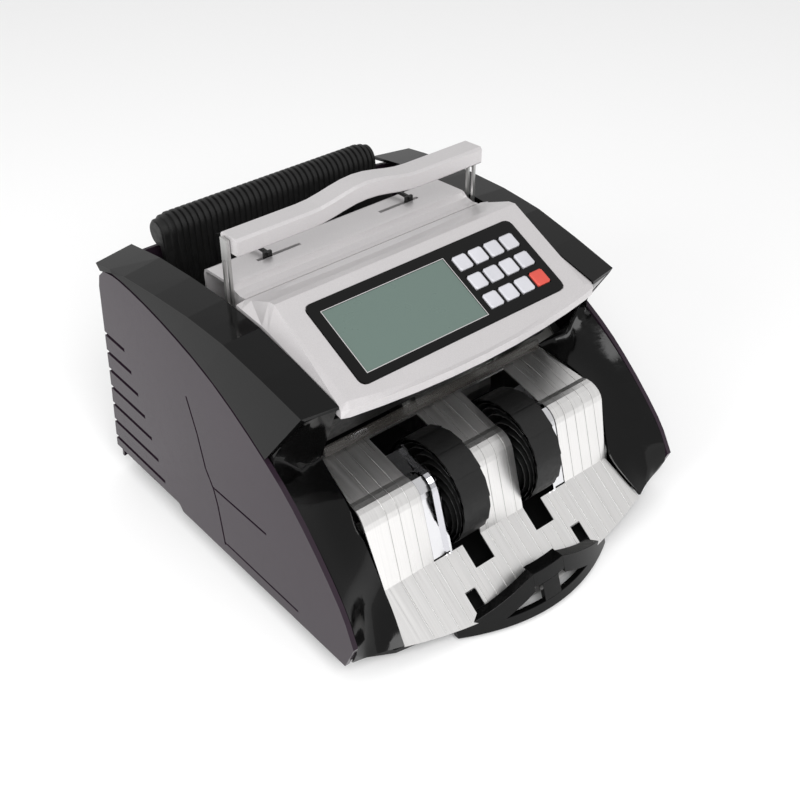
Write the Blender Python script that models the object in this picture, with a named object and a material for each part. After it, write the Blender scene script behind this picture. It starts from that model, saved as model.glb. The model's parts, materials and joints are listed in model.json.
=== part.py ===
"""Banknote counting machine: casing, stacker, console, hopper, carrying handle and drive train.

Lengths below are millimetres in the machine's own working axes: X to the right, Y to the rear,
Z up, with Y = 0 and Z = 0 at the front foot of the side panels.  Every object hangs from one
empty, which moves the machine so that the middle of its footprint on the table is the origin.
"""
import math

import bmesh
import bpy
from mathutils import Matrix, Vector

# ---- driving dimensions (mm) -------------------------------------------------------------------
HALF_WIDTH = 150.0          # outer face of a side panel at its foot
PANEL_LEAN = 0.05           # the panels lean inwards by this much per unit of height
PANEL_THICK = 3.5
FLOOR_Z = -18.0             # table top, under the rubber feet
FRONT_Y = -39.0             # foremost point, the lip of the note stop
REAR_Y = 297.0              # rearmost point, the face of the gap knob
GAP = 0.4                   # clearance between pieces that meet

GROOVE_WIDTH, GROOVE_DEPTH = 1.8, 0.9
GROOVE_STEP = 0.2           # each branch is this much shallower than the one it meets
GROOVES = (((173.0, 109.0), (162.0, 85.0), (154.0, 61.0), (145.0, 48.0), (141.0, 37.0), (134.0, 7.0)),
           ((146.0, 49.0), (83.0, 50.0)),
           ((134.5, 8.0), (49.0, 8.0)))
VENTS = 7
VENT_PITCH = 15.2
FOOT_PLACES = ((-116.0, 28.0), (116.0, 28.0), (-116.0, 250.0), (116.0, 250.0))

SHELL = 2.5                 # wall of the moulded covers
WING_INNER_X = 110.0        # inner edge of the wing covers
RIDGE_FRONT_X = 134.6       # ridge of a wing cover at its front tip
RIDGE_REAR_X = 142.0

CONSOLE_TILT = math.radians(25.4)
CONSOLE_HALF = 109.4
BEZEL_HALF = 103.0
CONSOLE_ORIGIN = (0.0, 61.2, 158.8)   # lower edge of the display, on the console's face
CONSOLE_REAR_Y = 156.0
CONSOLE_THICK = 12.0
CONSOLE_HINGE = (0.0, 156.8, 176.2)   # middle of the console's rear edge
OVERLAY_HALF = 88.0
OVERLAY_LOW = -6.6
OVERLAY_HIGH = 58.0
LCD_LEFT = -79.7
LCD_RIGHT = 20.9
LCD_HEIGHT = 49.7
KEY_SIZE = 11.6
KEY_PITCH_X = 14.3
KEY_PITCH_Y = 16.85
KEY_FIRST_X = 32.2
KEY_TOP_ROW_Y = 41.7

SHEET_THICK = 1.2
TRAY_SLOPE = 0.755          # fall of the tray towards the front
RISER_FOOT = (16.6, 23.0)   # crease between the tray and the riser (y, z)
TRAY_HALF_FRONT = 112.0
SLOT_INNER_X = 20.0         # impeller slots
SLOT_OUTER_X = 62.0
TRAY_SLOT_OUTER_X = 37.0

IMPELLER_Y, IMPELLER_Z = 46.0, 54.0
IMPELLER_R = 42.0
IMPELLER_X = (21.5, 45.0)
COUNT_Y, COUNT_Z, COUNT_R = 120.0, 92.0, 16.0
FEED_Y, FEED_Z, FEED_R = 180.0, 88.0, 20.0
PICKUP_Y, PICKUP_Z, PICKUP_R = 222.0, 86.0, 18.0
MOTOR_Y, MOTOR_Z, MOTOR_R = 150.0, 32.0, 21.0
SHAFT_R = 4.0
BELT_X = (121.0, 127.0)
PULLEYS = {"impeller": 10.0, "count": 8.0, "feed": 12.0, "pickup": 10.0, "motor": 8.0}
FRAME_X = 116.0             # inner face of the steel side frames
FRAME_THICK = 2.0

BAR_HALF = 103.5
BAR_FRONT_Y, BAR_REAR_Y = 157.8, 176.6
BAR_LOW_Z, BAR_HIGH_Z = 205.0, 217.0
BAR_HUMP = 6.5
BAR_HUMP_HALF = 46.0
ARM_X = (104.0, 106.0)
ARM_Y = 170.0
ARM_WIDTH = 8.0
ARM_LOW_Z = 157.0
SCREW_Z = 162.0

HOPPER_PLATE_HALF = 101.5
BACK_PLATE_HALF = 96.0
GUIDE_SLOT = (34.8, 70.5)
GUIDE_SLOT_Y = (187.0, 190.2)

LEFT, RIGHT = -1, 1


# ---- small tools -------------------------------------------------------------------------------
def clear_scene():
    for item in list(bpy.data.objects):
        bpy.data.objects.remove(item, do_unlink=True)


def material(name, colour, roughness, metallic=0.0, alpha=1.0):
    made = bpy.data.materials.new(name)
    made.use_nodes = True
    shader = made.node_tree.nodes["Principled BSDF"]
    shader.inputs["Base Color"].default_value = (*colour, 1.0)
    shader.inputs["Roughness"].default_value = roughness
    shader.inputs["Metallic"].default_value = metallic
    shader.inputs["Alpha"].default_value = alpha
    return made


def add_empty(name, location, parent=None, tilt=0.0):
    made = bpy.data.objects.new(name, None)
    made.location = [value * 0.001 for value in location]
    made.rotation_euler = (tilt, 0.0, 0.0)
    made.parent = parent
    bpy.context.scene.collection.objects.link(made)
    return made


def add_object(name, verts, faces, finish, parent, origin=(0.0, 0.0, 0.0)):
    """Make one closed mesh object; verts are millimetres in the parent's axes."""
    mesh = bpy.data.meshes.new(name)
    shift = Vector(origin)
    mesh.from_pydata([(Vector(v) - shift) * 0.001 for v in verts], [], faces)
    work = bmesh.new()
    work.from_mesh(mesh)
    bmesh.ops.recalc_face_normals(work, faces=work.faces)
    bmesh.ops.triangulate(work, faces=[f for f in work.faces if len(f.verts) > 4],
                          ngon_method="EAR_CLIP")
    work.to_mesh(mesh)
    work.free()
    made = bpy.data.objects.new(name, mesh)
    made.location = shift * 0.001
    made.parent = parent
    if finish is not None:
        mesh.materials.append(finish)
    bpy.context.scene.collection.objects.link(made)
    return made


def loft(sections):
    """Close a run of rings, each with the same number of points, into one body."""
    count = len(sections[0])
    verts = [point for ring in sections for point in ring]
    faces = []
    for k in range(len(sections) - 1):
        for i in range(count):
            j = (i + 1) % count
            faces.append((k * count + i, k * count + j, (k + 1) * count + j, (k + 1) * count + i))
    faces.append(tuple(range(count))[::-1])
    faces.append(tuple(range((len(sections) - 1) * count, len(sections) * count)))
    return verts, faces


def grid_shell(top, low):
    """Close two matching grids of points (upper and lower skin) into one thin body."""
    rows, width = len(top), len(top[0])
    total = rows * width
    verts = [point for row in top for point in row] + [point for row in low for point in row]
    faces = []
    for r in range(rows - 1):
        for c in range(width - 1):
            a, b = r * width + c, r * width + c + 1
            faces.append((a, b, b + width, a + width))
            faces.append((total + a, total + a + width, total + b + width, total + b))
    rim = list(range(width))
    rim += [r * width + width - 1 for r in range(1, rows)]
    rim += [(rows - 1) * width + c for c in range(width - 2, -1, -1)]
    rim += [r * width for r in range(rows - 2, 0, -1)]
    for k, a in enumerate(rim):
        b = rim[(k + 1) % len(rim)]
        faces.append((a, b, total + b, total + a))
    return verts, faces


def prism_x(outline, x0, x1):
    """Extrude a closed (y, z) outline from x0 to x1."""
    return loft([[(x, y, z) for y, z in outline] for x in (x0, x1)])


def prism_z(outline, z0, z1):
    """Extrude a closed (x, y) outline from z0 to z1."""
    return loft([[(x, y, z) for x, y in outline] for z in (z0, z1)])


def box(x0, x1, y0, y1, z0, z1):
    return prism_z([(x0, y0), (x1, y0), (x1, y1), (x0, y1)], z0, z1)


def circle(cy, cz, radius, count=24):
    steps = [2.0 * math.pi * k / count for k in range(count)]
    return [(cy + radius * math.cos(a), cz + radius * math.sin(a)) for a in steps]


def turned_x(profile, cy, cz, count=24):
    """Turn an (x, radius) profile about the line through (cy, cz) along X."""
    return loft([[(x, y, z) for y, z in circle(cy, cz, r, count)] for x, r in profile])


def sheet_outline(path, thickness):
    """Thicken an open (y, z) path downwards (to its right when walked) into a closed outline."""
    lower = []
    for k, (y, z) in enumerate(path):
        before = Vector(path[max(k - 1, 0)])
        after = Vector(path[min(k + 1, len(path) - 1)])
        run = (after - before).normalized()
        lower.append((y + run.y * thickness, z - run.x * thickness))
    return list(path) + lower[::-1]


def smooth_path(knots, per_span=4):
    """Catmull-Rom curve through the knots."""
    ends = [Vector(knots[0]) * 2 - Vector(knots[1]), Vector(knots[-1]) * 2 - Vector(knots[-2])]
    pts = [ends[0]] + [Vector(k) for k in knots] + [ends[1]]
    out = []
    for k in range(1, len(pts) - 2):
        a, b, c, d = pts[k - 1:k + 3]
        for step in range(per_span):
            t = step / per_span
            out.append(0.5 * (2 * b + (c - a) * t + (2 * a - 5 * b + 4 * c - d) * t * t
                              + (3 * b - a - 3 * c + d) * t ** 3))
    out.append(pts[-2])
    return [tuple(p) for p in out]


def arc_points(cy, cz, radius, start, end, count):
    """Points of an arc, angles in degrees."""
    out = []
    for k in range(count + 1):
        a = math.radians(start + (end - start) * k / count)
        out.append((cy + radius * math.cos(a), cz + radius * math.sin(a)))
    return out


def rounded_rect(x0, x1, y0, y1, radius, count=3):
    corners = ((x1 - radius, y1 - radius, 0), (x0 + radius, y1 - radius, 90),
               (x0 + radius, y0 + radius, 180), (x1 - radius, y0 + radius, 270))
    out = []
    for cx, cy, start in corners:
        out.extend(arc_points(cx, cy, radius, start, start + 90, count))
    return out


def cut(target, shape, name, operation="DIFFERENCE"):
    """Boolean a helper shape into the target; the helper stays hidden."""
    helper = add_object(name, *shape, None, target.parent)
    helper.hide_render = True
    helper.display_type = "WIRE"
    modifier = target.modifiers.new(name, "BOOLEAN")
    modifier.operation = operation
    modifier.object = helper
    modifier.solver = "EXACT"
    return helper


def bevel(target, width, segments=1, angle=40.0):
    modifier = target.modifiers.new("edges", "BEVEL")
    modifier.width = width * 0.001
    modifier.segments = segments
    modifier.limit_method = "ANGLE"
    modifier.angle_limit = math.radians(angle)


def smooth(target):
    target.data.shade_smooth()
    target.data.set_sharp_from_angle(angle=math.radians(35.0))


def side_word(side):
    return "left" if side == LEFT else "right"


def panel_x(side, z, inset=0.0):
    return side * (HALF_WIDTH - PANEL_LEAN * z - inset)


# ---- shared curves -----------------------------------------------------------------------------
PANEL_CREST = smooth_path([(-8.0, 21.0), (7.0, 46.0), (43.0, 83.0), (80.0, 110.0), (139.0, 139.0),
                           (200.0, 155.0), (250.0, 161.5), (272.0, 159.5)], 3)


def ridge_z(y):
    """Height of the wing covers' long ridge."""
    knots = ((54.0, 153.8), (90.0, 161.5), (130.0, 168.5), (165.0, 170.5), (210.0, 169.0),
             (250.0, 166.0), (289.0, 159.5))
    for (y0, z0), (y1, z1) in zip(knots, knots[1:]):
        if y <= y1:
            return z0 + (z1 - z0) * (y - y0) / (y1 - y0)
    return knots[-1][1]


def stack_profile():
    """Upper surface of the stacker sheet from under the console down to the tray's crease."""
    bend = arc_points(44.0, 62.5, 15.0, 76.0, 164.0, 6)
    return [(88.0, 86.5), (66.0, 81.6)] + bend + [RISER_FOOT]


def tray_z(y):
    return RISER_FOOT[1] + (y - RISER_FOOT[0]) * TRAY_SLOPE


# ---- casing ------------------------------------------------------------------------------------
def side_panel(side, finish, root):
    """Moulded plum side panel with a row of rear vents and a branching groove."""
    crest = [(y, z - 1.2) for y, z in PANEL_CREST]
    outline = crest + [(279.0, 152.0), (281.0, 143.0), (280.0, 60.0), (281.0, 5.0),
                       (193.0, 5.0), (188.0, 0.0), (0.0, 0.0)]
    rings = []
    for inset in (0.0, PANEL_THICK):
        rings.append([(panel_x(side, z, inset), y, z) for y, z in outline])
    made = add_object("side_panel_" + side_word(side), *loft(rings), finish, root)
    for k, path in enumerate(GROOVES):
        outline = sheet_outline(path, GROOVE_WIDTH)
        depth = GROOVE_DEPTH - GROOVE_STEP * k
        rings = [[(panel_x(side, z, inset), y, z) for y, z in outline] for inset in (-2.0, depth)]
        cut(made, loft(rings), "groove_%s_%d" % (side_word(side), k + 1))
    for k in range(VENTS):
        z_rear = 12.0 + VENT_PITCH * k
        length = 66.0 - 7.0 * k
        vent = [(282.5, z_rear), (282.5, z_rear + 3.0), (277.0 - length, z_rear - 1.0 + 3.0),
                (277.0 - length, z_rear - 1.0)]
        x_mid = abs(panel_x(side, z_rear))
        cut(made, prism_x(vent, side * (x_mid - 1.6), side * (x_mid + 3.0)),
            "vent_%s_%d" % (side_word(side), k + 1))
    return made


def wing_cover(side, finish, root):
    """Gloss cover between the side panel and the console: flat top, sharp ridge, sloping side."""
    rings = []
    steps = 12
    for k in range(steps + 1):
        t = k / steps
        y_in = 50.0 + (288.5 - 50.0) * t
        y_ridge = 54.5 + (282.0 - 54.5) * t
        y_low = 82.0 + (276.0 - 82.0) * t
        x_ridge = side * (RIDGE_FRONT_X + (RIDGE_REAR_X - RIDGE_FRONT_X) * t)
        z_in = ridge_z(y_in) + 1.5
        z_ridge = ridge_z(y_ridge)
        z_low = crest_z(y_low) + 0.8
        x_low = panel_x(side, z_low)
        if abs(x_low) < abs(x_ridge) + 0.6:
            x_low = side * (abs(x_ridge) + 0.6)
        x_in = side * WING_INNER_X
        rings.append([(x_in, y_in, z_in), (x_ridge, y_ridge, z_ridge), (x_low, y_low, z_low),
                      (x_low - side * SHELL, y_low, z_low),
                      (x_ridge - side * SHELL, y_ridge, z_ridge - SHELL),
                      (x_in, y_in, z_in - SHELL)])
    return add_object("wing_cover_" + side_word(side), *loft(rings), finish, root)


def crest_z(y):
    for (y0, z0), (y1, z1) in zip(PANEL_CREST, PANEL_CREST[1:]):
        if y0 <= y <= y1:
            return z0 + (z1 - z0) * (y - y0) / (y1 - y0)
    return PANEL_CREST[-1][1] - (y - PANEL_CREST[-1][0]) * 0.8


def cheek(side, finish, root):
    """Gloss inner cheek, ruled between the panel's front edge and the edge of the stacker sheet."""
    pairs = [((56.5, 148.6), (110.0, 52.5, 150.5)),
             ((84.0, 109.0), (110.0, 71.0, 102.0)),
             ((66.0, 98.6), (99.5, 86.0, 88.5)),
             ((43.0, 81.2), (104.5, 64.0, 83.0)),
             ((24.0, 64.0), (107.5, 50.0, 78.5)),
             ((8.0, 46.5), (110.0, 33.0, 66.0)),
             ((-1.0, 33.5), (108.5, 24.5, 50.0)),
             ((-6.0, 24.0), (105.5, 16.5, 27.0)),
             ((-6.5, 13.0), (107.5, 3.5, 17.0)),
             ((-3.0, 3.0), (112.5, -13.0, 2.5))]
    tip_x = RIDGE_FRONT_X - SHELL - 1.0
    columns = 4
    top = []
    for index, (edge, inner) in enumerate(pairs):
        outer = (abs(panel_x(side, edge[1], PANEL_THICK + GAP)) if index else tip_x, *edge)
        row = []
        for k in range(columns + 1):
            t = k / columns
            sag = 3.0 * math.sin(math.pi * t)
            x, y, z = (outer[i] + (inner[i] - outer[i]) * t for i in range(3))
            row.append((side * x, y + sag * 0.7, z - sag * 0.5))
        top.append(row)
    low = [[(x, y + 1.9, z - 1.2) for x, y, z in row] for row in top]
    return add_object("cheek_" + side_word(side), *grid_shell(top, low), finish, root)


def rear_cover(finish, root):
    """Bowed rear wall with openings for the mains inlet, the switch and the knob's spindle."""
    rings = []
    for z in (-7.0, 154.0):
        half = abs(panel_x(RIGHT, z, PANEL_THICK + GAP))
        rings.append([(-half, 281.5, z), (-108.0, 288.8, z), (108.0, 288.8, z), (half, 281.5, z),
                      (half, 279.0, z), (108.0, 286.3, z), (-108.0, 286.3, z), (-half, 279.0, z)])
    made = add_object("rear_cover", *loft(rings), finish, root)
    cut(made, box(-94.6, -45.4, 280.0, 295.0, 19.6, 46.4), "inlet_opening")
    cut(made, box(-38.4, -15.6, 280.0, 295.0, 15.6, 50.4), "switch_opening")
    spindle = turned_y([(280.0, 4.4), (295.0, 4.4)], 0.0, 120.0)
    cut(made, spindle, "spindle_opening")
    return made


def turned_y(profile, cx, cz, count=24):
    """Turn a (y, radius) profile about the line through (cx, cz) along Y."""
    rings = []
    for y, radius in profile:
        rings.append([(x, y, z) for x, z in circle(cx, cz, radius, count)])
    return loft(rings)


def base_pan(finish, root):
    """Shallow moulded pan that carries everything, bowed at the front under the tray."""
    half = 141.0
    outline = [(-half, 278.0), (-half, 12.0), (-112.0, -4.0), (-76.0, -11.0), (76.0, -11.0),
               (112.0, -4.0), (half, 12.0), (half, 278.0)]
    made = add_object("base_pan", *prism_z(outline, -12.0, 1.5), finish, root)
    wall = 3.0
    inner = [(-half + wall, 278.0 - wall), (-half + wall, 14.0), (-111.0, 0.0), (-75.0, -7.5),
             (75.0, -7.5), (111.0, 0.0), (half - wall, 14.0), (half - wall, 278.0 - wall)]
    cut(made, prism_z(inner, -9.0, 5.0), "pan_hollow")
    cut(made, prism_z([(-113.5, -20.0), (113.5, -20.0), (113.5, 10.0), (-113.5, 10.0)], -9.0, 5.0),
        "tray_relief")
    return made


def rubber_foot(index, x, y, finish, root):
    rings = []
    for z, radius in ((FLOOR_Z, 10.0), (FLOOR_Z + 1.0, 11.0), (-12.0 - GAP, 11.5)):
        rings.append([(px, py, z) for px, py in circle(x, y, radius, 20)])
    made = add_object("rubber_foot_%d" % index, *loft(rings), finish, root)
    smooth(made)
    return made


def side_frame(side, finish, root):
    """Steel frame plate that carries the shafts."""
    outline = [(24.0, -8.4), (262.0, -8.4), (262.0, 112.0), (206.0, 140.0), (98.0, 140.0),
               (98.0, 98.0), (72.0, 76.0), (40.0, 62.0), (30.0, 44.0)]
    x0 = side * FRAME_X
    made = add_object("side_frame_" + side_word(side),
                      *prism_x(outline, x0, x0 + side * FRAME_THICK), finish, root)
    holes = (("impeller", IMPELLER_Y, IMPELLER_Z), ("count", COUNT_Y, COUNT_Z),
             ("feed", FEED_Y, FEED_Z), ("pickup", PICKUP_Y, PICKUP_Z), ("motor", MOTOR_Y, MOTOR_Z))
    for name, y, z in holes:
        hole = prism_x(circle(y, z, SHAFT_R + GAP), x0 - side * 3.0, x0 + side * 5.0)
        cut(made, hole, "%s_hole_%s" % (name, side_word(side)))
    return made


# ---- stacker -----------------------------------------------------------------------------------
def sheet_half_width(y):
    """Half width of the stacker sheet: widest at the bend, narrow at the crease."""
    knots = ((88.0, 99.0), (66.0, 103.5), (44.0, 107.5), (30.0, 109.2), (RISER_FOOT[0], 104.6))
    for (y0, w0), (y1, w1) in zip(knots, knots[1:]):
        if y >= y1:
            return w0 + (w1 - w0) * (y - y0) / (y1 - y0)
    return knots[-1][1]


def stacker_plate(finish, root):
    """One bent steel sheet: slope, radius, riser and bowed tray, with the impeller slots cut out."""
    columns = 16
    outline = sheet_outline(stack_profile(), -SHEET_THICK)
    upper = len(outline) // 2
    top, low = [], []
    for k in range(upper):
        half = sheet_half_width(outline[k][0]) - 0.6
        xs = [half * (2.0 * c / columns - 1.0) for c in range(columns + 1)]
        top.append([(x, *outline[k]) for x in xs])
        low.append([(x, *outline[2 * upper - 1 - k]) for x in xs])
    for step in range(1, 5):
        t = step / 4
        half = 104.0 + (TRAY_HALF_FRONT - 0.4 - 104.0) * t
        row = []
        for c in range(columns + 1):
            across = 2.0 * c / columns - 1.0
            y_end = -12.6 - 14.0 * (1.0 - across * across)
            y = RISER_FOOT[0] + (y_end - RISER_FOOT[0]) * t
            row.append((half * across, y, tray_z(y)))
        top.append(row)
        low.append([(x, y + 0.7, z - 0.95) for x, y, z in row])
    made = add_object("stacker_plate", *grid_shell(top, low), finish, root)
    for side in (LEFT, RIGHT):
        word = side_word(side)
        x0, x1 = sorted((side * SLOT_INNER_X, side * SLOT_OUTER_X))
        cut(made, box(x0, x1, 16.2, 84.0, 16.0, 95.0), "impeller_slot_" + word)
        x0, x1 = sorted((side * SLOT_INNER_X, side * TRAY_SLOT_OUTER_X))
        cut(made, box(x0, x1, 2.0, 17.0, 0.0, 40.0), "tray_slot_" + word)
        x0, x1 = sorted((side * 45.5, side * 54.5))
        cut(made, box(x0, x1, -18.0, -6.0, -20.0, 20.0), "sensor_window_" + word)
    return made


def guide_strip(side, finish, root):
    """Polished strip beside an impeller, with a raised rim along the slot."""
    path = stack_profile()
    rings = []
    for k, (y, z) in enumerate(path):
        before = Vector(path[max(k - 1, 0)])
        after = Vector(path[min(k + 1, len(path) - 1)])
        run = (after - before).normalized()
        ring = []
        for x, lift in ((48.0, 3.0), (49.8, 3.0), (49.8, -0.6),
                        (61.5, -0.6), (61.5, -1.8), (48.0, -1.8)):
            shift = 0.5 if k == len(path) - 1 else 0.0
            point = Vector((y, z + shift)) + Vector((run.y, -run.x)) * lift
            ring.append((side * x, point.x, point.y))
        rings.append(ring)
    made = add_object("guide_strip_" + side_word(side), *loft(rings[1:]), finish, root)
    return made


def front_stop(finish, root):
    """A-shaped note stop on a bowed lip: top block, two sloping legs, a middle rib, two windows."""
    half = 74.0
    stations = [-half, -56.0, -38.0, -26.0, -14.0, -7.0, 0.0, 7.0, 14.0, 26.0, 38.0, 56.0, half]
    rings = []
    for x in stations:
        t = abs(x) / half
        bow = 1.0 - t * t
        y_lip = FRONT_Y + 19.0 * (x / 70.0) ** 2
        y_face = y_lip + 6.0 + 3.0 * bow
        top = 14.0 if abs(x) <= 14.0 else 14.0 - (abs(x) - 14.0) * (25.5 / (half - 14.0))
        y_back = y_face + 5.0 + 5.5 * bow
        rings.append([(x, y_lip, -16.0), (x, y_lip, -13.5), (x, y_face, min(-11.6, top - 1.0)),
                      (x, y_face + 0.6, top), (x, y_back, top + 0.4), (x, y_back, -16.0)])
    made = add_object("front_stop", *loft(rings), finish, root)
    for side in (LEFT, RIGHT):
        window = [(side * 6.0, -9.0), (side * 6.0, 7.0), (side * 17.0, 7.0), (side * 38.0, -9.0)]
        rings = [[(x, y, z) for x, z in window] for y in (-60.0, 0.0)]
        cut(made, loft(rings), "stop_window_" + side_word(side))
    relief = []
    for x in (-120.0, 120.0):
        relief.append([(x, 10.0, tray_z(10.0) - 2.2), (x, -11.5, tray_z(-11.5) - 2.2), (x, -11.5, -20.0),
                       (x, 10.0, -20.0)])
    cut(made, loft(relief), "pan_relief")
    under = []
    for x in (-120.0, 120.0):
        y_low = -27.5
        under.append([(x, 20.0, tray_z(20.0) - 2.4), (x, 20.0, tray_z(20.0) + 0.5),
                      (x, y_low, tray_z(y_low) + 0.5), (x, y_low, tray_z(y_low) - 2.4)])
    cut(made, loft(under), "tray_slit")
    return made


def outlet_guard(finish, root):
    """Clear strip over the note outlet."""
    outline = [(83.6, 87.6), (86.2, 88.2), (86.4, 94.4), (84.8, 94.4)]
    return add_object("outlet_guard", *prism_x(outline, -97.5, 97.5), finish, root)


def outlet_hood(finish, root):
    """Dark inner cover between the console and the outlet."""
    path = [(60.0, 139.0), (74.0, 128.0), (88.0, 99.0), (96.0, 96.0)]
    return add_object("outlet_hood", *prism_x(sheet_outline(path, 2.0), -103.0, 103.0), finish, root)


# ---- console -----------------------------------------------------------------------------------
def console_plane_z(y):
    return CONSOLE_ORIGIN[2] + (y - CONSOLE_ORIGIN[1]) * math.tan(CONSOLE_TILT)


def console_section(x):
    """Closed (y, z) outline of the console at a station across its width."""
    y_front = 49.5 - 10.5 * (1.0 - (x / CONSOLE_HALF) ** 2)
    drop = CONSOLE_THICK / math.cos(CONSOLE_TILT)
    if abs(x) > BEZEL_HALF + 0.1:
        return [(y_front, 145.0), (y_front, 150.5), (y_front + 2.0, 153.6), (122.0, 170.5),
                (128.0, 171.5), (150.0, 173.2), (CONSOLE_REAR_Y, 173.6), (CONSOLE_REAR_Y, 171.0),
                (125.0, 166.0), (62.0, 147.5)]
    cove = 2.2 * (1.0 - (x / BEZEL_HALF) ** 2)
    return [(y_front + 0.6, 143.5), (y_front - 0.3, 150.0), (y_front + 3.0, console_plane_z(y_front + 3.0)),
            (122.0, console_plane_z(122.0)), (128.0, 186.8), (148.0, 178.2 - cove),
            (CONSOLE_REAR_Y, 174.8), (CONSOLE_REAR_Y, 171.5),
            (126.0, console_plane_z(126.0) - drop - 1.0), (60.0, console_plane_z(60.0) - drop)]


def console_housing(finish, root):
    stations = [-CONSOLE_HALF, -BEZEL_HALF, -80.0, -55.0, -28.0, 0.0, 28.0, 55.0, 80.0, BEZEL_HALF,
                CONSOLE_HALF]
    rings = [[(x, y, z) for y, z in console_section(x)] for x in stations]
    made = add_object("console_housing", *loft(rings), finish, root, origin=CONSOLE_HINGE)
    frame = Matrix.Translation(CONSOLE_ORIGIN) @ Matrix.Rotation(CONSOLE_TILT, 4, "X")

    def tilted(shape):
        return [tuple(frame @ Vector(v)) for v in shape[0]], shape[1]

    recess = rounded_rect(-OVERLAY_HALF - GAP, OVERLAY_HALF + GAP, OVERLAY_LOW - GAP,
                          OVERLAY_HIGH + GAP, 5.0)
    cut(made, tilted(prism_z(recess, -1.4, 6.0)), "overlay_recess")
    cut(made, tilted(box(-84.0, 84.0, -2.5, 54.0, -9.0, 4.0)), "module_pocket")
    return made


def display_panel(finish, tilted):
    plate = rounded_rect(-OVERLAY_HALF, OVERLAY_HALF, OVERLAY_LOW, OVERLAY_HIGH, 5.0)
    made = add_object("display_panel", *prism_z(plate, -1.0, 0.6), finish, tilted)
    cut(made, box(LCD_LEFT - GAP, LCD_RIGHT + GAP, -GAP, LCD_HEIGHT + GAP, -3.0, 3.0), "lcd_opening")
    for row in range(3):
        for column in range(4):
            x, y = key_centre(row, column)
            reach = KEY_SIZE / 2 + GAP
            cut(made, box(x - reach, x + reach, y - reach, y + reach, -3.0, 3.0),
                "key_opening_%d_%d" % (row + 1, column + 1))
    return made


def key_centre(row, column):
    return KEY_FIRST_X + KEY_PITCH_X * column, KEY_TOP_ROW_Y - KEY_PITCH_Y * row


def lcd_module(finish, tilted):
    return add_object("lcd_module", *box(LCD_LEFT, LCD_RIGHT, 0.0, LCD_HEIGHT, -7.5, 0.3), finish, tilted)


def key_board(finish, tilted):
    return add_object("key_board", *box(24.0, 83.0, 0.0, 50.0, -5.6, -4.0), finish, tilted)


def key_caps(plain, red, tilted):
    half = KEY_SIZE / 2
    for row in range(3):
        for column in range(4):
            number = row * 4 + column + 1
            x, y = key_centre(row, column)
            rings = []
            for z, inset in ((-1.8, 0.0), (1.2, 0.0), (1.8, 0.8)):
                ring = rounded_rect(x - half + inset, x + half - inset, y - half + inset,
                                    y + half - inset, 1.2, 1)
                rings.append([(px, py, z) for px, py in ring])
            finish = red if number == 12 else plain
            add_object("key_%d" % number, *loft(rings), finish, tilted, origin=(x, y, 0.0))


# ---- hopper ------------------------------------------------------------------------------------
def hopper_front_plate(finish, root):
    """Satin plate under the handle: hollow cove, step, slotted flat, and the wall down to the feed."""
    path = [(157.6, 174.2), (163.0, 173.4), (169.0, 174.6), (172.6, 177.6), (175.0, 178.0),
            (202.0, 176.2), (205.0, 174.6), (206.0, 171.0), (206.0, 112.0)]
    outline = sheet_outline(path, 2.0)
    half = HOPPER_PLATE_HALF
    made = add_object("hopper_front_plate", *prism_x(outline, -half, half), finish, root)
    for side in (LEFT, RIGHT):
        word = side_word(side)
        x0, x1 = sorted((side * GUIDE_SLOT[0], side * GUIDE_SLOT[1]))
        cut(made, box(x0, x1, *GUIDE_SLOT_Y, 165.0, 190.0), "guide_slot_" + word)
        x0, x1 = sorted((side * (half - 2.5), side * half))
        flange = [(162.0, 152.0), (178.0, 152.0), (178.0, 176.6), (174.0, 177.0), (168.4, 173.4),
                  (162.0, 172.4)]
        cut(made, prism_x(flange, x0, x1), "screw_flange_" + word, "UNION")
    return made


def hopper_floor(finish, root):
    """Sloping floor of the hopper with windows for the pick-up rollers."""
    path = [(266.0, 118.0), (258.0, 112.0), (210.0, 99.4)]
    outline = [(y, z) for y, z in sheet_outline(path, -2.0)]
    made = add_object("hopper_floor", *prism_x(outline, -100.0, 100.0), finish, root)
    for side in (LEFT, RIGHT):
        x0, x1 = sorted((side * 15.0, side * 39.0))
        cut(made, box(x0, x1, 209.0, 238.0, 90.0, 115.0), "roller_window_" + side_word(side))
    return made


def hopper_back_plate(finish, root):
    """Ribbed rest behind the notes, rolled over at the top."""
    outline = [(262.0, 120.0), (265.5, 120.5), (271.0, 157.0), (288.0, 157.4), (289.4, 165.0),
               (288.6, 173.0), (284.0, 180.0), (277.0, 182.0), (269.5, 178.5), (265.0, 168.0)]
    half = BACK_PLATE_HALF
    rings = []
    for x, scale in ((-half, 0.72), (-half + 3.0, 0.92), (-half + 8.0, 1.0),
                     (half - 8.0, 1.0), (half - 3.0, 0.92), (half, 0.72)):
        ring = []
        for y, z in outline:
            if z > 150.0:
                ring.append((x, 277.0 + (y - 277.0) * scale, 166.0 + (z - 166.0) * scale))
            else:
                ring.append((x, y, z))
        rings.append(ring)
    made = add_object("hopper_back_plate", *loft(rings), finish, root)
    smooth(made)
    return made


def note_guide(side, finish, root):
    """Width guide: a fin in the hopper, hung over the plate's edge and pinned in its slot."""
    x = side * 62.0
    outline = [(186.4, 178.6), (186.4, 181.0), (212.0, 181.0), (252.0, 168.0), (250.0, 116.5),
               (208.6, 105.6), (208.6, 178.6)]
    made = add_object("note_guide_" + side_word(side), *prism_x(outline, x - 1.0, x + 1.0), finish, root)
    cut(made, box(x - 3.2, x + 3.2, 187.6, 189.6, 171.0, 181.0), "guide_pin_" + side_word(side), "UNION")
    return made


# ---- handle ------------------------------------------------------------------------------------
def hump(x):
    """Raised middle of the handle bar."""
    t = min(abs(x) / BAR_HUMP_HALF, 1.0)
    return BAR_HUMP * (0.5 + 0.5 * math.cos(math.pi * t))


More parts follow.
